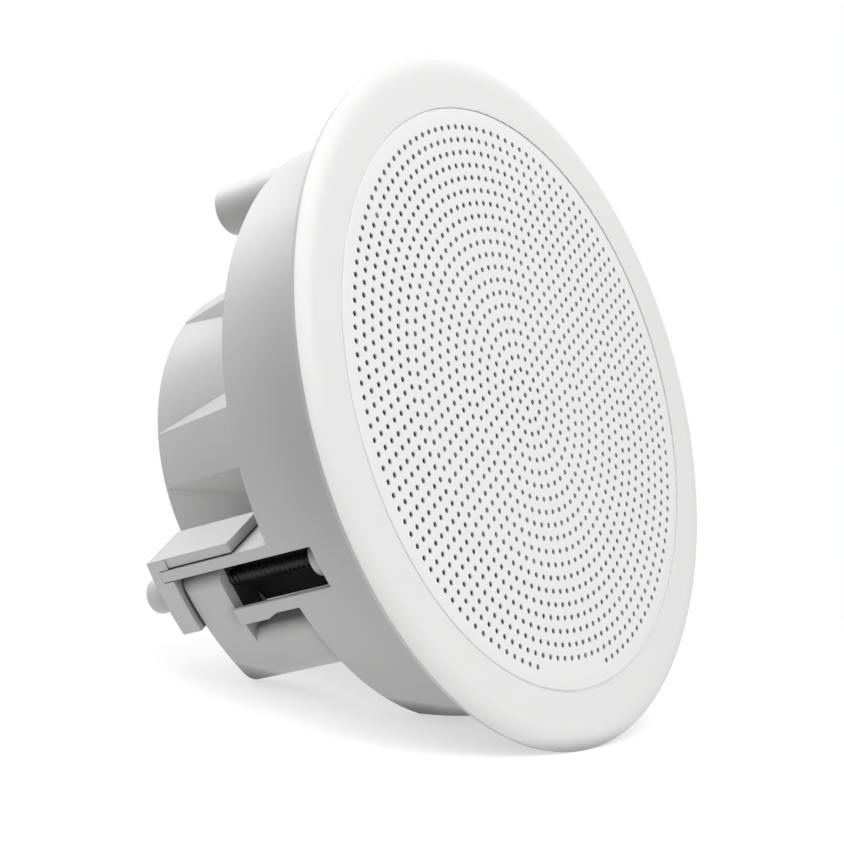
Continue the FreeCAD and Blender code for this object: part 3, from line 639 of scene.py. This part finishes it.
def floor_material():
    """Matt white with a glow of its own, dimmed near the speaker as a painted contact shadow and lighting
    the speaker as painted bounce light, faded out with distance and clear when seen from below.
    """
    material = bpy.data.materials.new("floor")
    material.use_nodes = True
    tree = material.node_tree
    tree.nodes.clear()
    links = tree.links

    # Matt white with a glow that dims where the speaker comes close: a painted contact shadow
    matt = tree.nodes.new("ShaderNodeBsdfDiffuse")
    matt.inputs["Color"].default_value = (FLOOR_WHITE, FLOOR_WHITE, FLOOR_WHITE, 1)
    open_sky = tree.nodes.new("ShaderNodeAmbientOcclusion")
    open_sky.inputs["Distance"].default_value = CONTACT_REACH
    shown = tree.nodes.new("ShaderNodeMapRange")
    shown.inputs["To Min"].default_value = FLOOR_DIM
    shown.inputs["To Max"].default_value = FLOOR_GLOW
    links.new(open_sky.outputs["AO"], shown.inputs["Value"])
    strength = tree.nodes.new("ShaderNodeMix")
    strength.inputs["A"].default_value = FLOOR_BOUNCE
    links.new(shown.outputs["Result"], strength.inputs["B"])
    links.new(seen_directly(tree), strength.inputs["Factor"])
    glow = tree.nodes.new("ShaderNodeEmission")
    links.new(strength.outputs["Result"], glow.inputs["Strength"])
    lit = tree.nodes.new("ShaderNodeAddShader")
    links.new(matt.outputs[0], lit.inputs[0])
    links.new(glow.outputs[0], lit.inputs[1])

    # Faded out with distance from the middle
    where = tree.nodes.new("ShaderNodeTexCoord").outputs["Object"]
    length = tree.nodes.new("ShaderNodeVectorMath")
    length.operation = "LENGTH"
    links.new(where, length.inputs[0])
    fade = tree.nodes.new("ShaderNodeMapRange")
    fade.interpolation_type = "SMOOTHSTEP"
    fade.inputs["From Min"].default_value = FLOOR_FADE[0]
    fade.inputs["From Max"].default_value = FLOOR_FADE[1]
    links.new(length.outputs["Value"], fade.inputs["Value"])
    clear = tree.nodes.new("ShaderNodeBsdfTransparent")
    faded = tree.nodes.new("ShaderNodeMixShader")
    links.new(fade.outputs["Result"], faded.inputs[0])
    links.new(lit.outputs[0], faded.inputs[1])
    links.new(clear.outputs[0], faded.inputs[2])

    # Clear from below
    side = tree.nodes.new("ShaderNodeNewGeometry").outputs["Backfacing"]
    one_sided = tree.nodes.new("ShaderNodeMixShader")
    links.new(side, one_sided.inputs[0])
    links.new(faded.outputs[0], one_sided.inputs[1])
    links.new(clear.outputs[0], one_sided.inputs[2])
    out = tree.nodes.new("ShaderNodeOutputMaterial")
    links.new(one_sided.outputs[0], out.inputs["Surface"])
    return material


def seen_directly(tree):
    """1 for rays from the camera, from reflections and through glass, 0 for rays that gather light."""
    path = tree.nodes.new("ShaderNodeLightPath")
    seen = path.outputs["Is Camera Ray"]
    for kind in ("Is Glossy Ray", "Is Transmission Ray"):
        either = tree.nodes.new("ShaderNodeMath")
        either.operation = "MAXIMUM"
        tree.links.new(seen, either.inputs[0])
        tree.links.new(path.outputs[kind], either.inputs[1])
        seen = either.outputs["Value"]
    return seen


def add_world():
    """Plain white where it is seen, and a faint even light on the speaker."""
    world = bpy.data.worlds.new("studio")
    bpy.context.scene.world = world
    world.use_nodes = True
    tree = world.node_tree
    background = tree.nodes["Background"]
    background.inputs["Color"].default_value = (1, 1, 1, 1)
    strength = tree.nodes.new("ShaderNodeMix")
    strength.inputs["A"].default_value = SKY_LEVEL
    strength.inputs["B"].default_value = 1.0
    tree.links.new(seen_directly(tree), strength.inputs["Factor"])
    tree.links.new(strength.outputs["Result"], background.inputs["Strength"])


def add_lamp(name, way, watts):
    """Square soft lamp that faces the speaker from the given way."""
    data = bpy.data.lights.new(name, "AREA")
    data.size = LAMP_SIZE
    data.energy = watts
    lamp = bpy.data.objects.new(name, data)
    way = Vector(way).normalized()
    lamp.matrix_world = facing(LAMP_TARGET + way * LAMP_DISTANCE, way)
    bpy.context.scene.collection.objects.link(lamp)


MATERIALS = make_materials()
dress_cad_nodes()
grille_sheet()
seam_bead()
for side in CLAMPS:
    clamp_screw(side)
    clamp_shade_sheet(side)
    barrel_shade_plate(side)
stretching("surround", "surround_rubber")
stretching("spider", "spider_cloth")

add_camera()
add_floor()
add_world()
add_lamp("key", way=(0.0, -0.83, 0.56), watts=11.0)
add_lamp("front", way=(-0.35, -0.9, -0.05), watts=4.8)
add_lamp("top", way=(-0.1, 0.35, 0.93), watts=7.2)
add_lamp("upper_left", way=(-0.6, 0.1, 0.8), watts=4.5)
bpy.context.scene.view_settings.view_transform = "Standard"
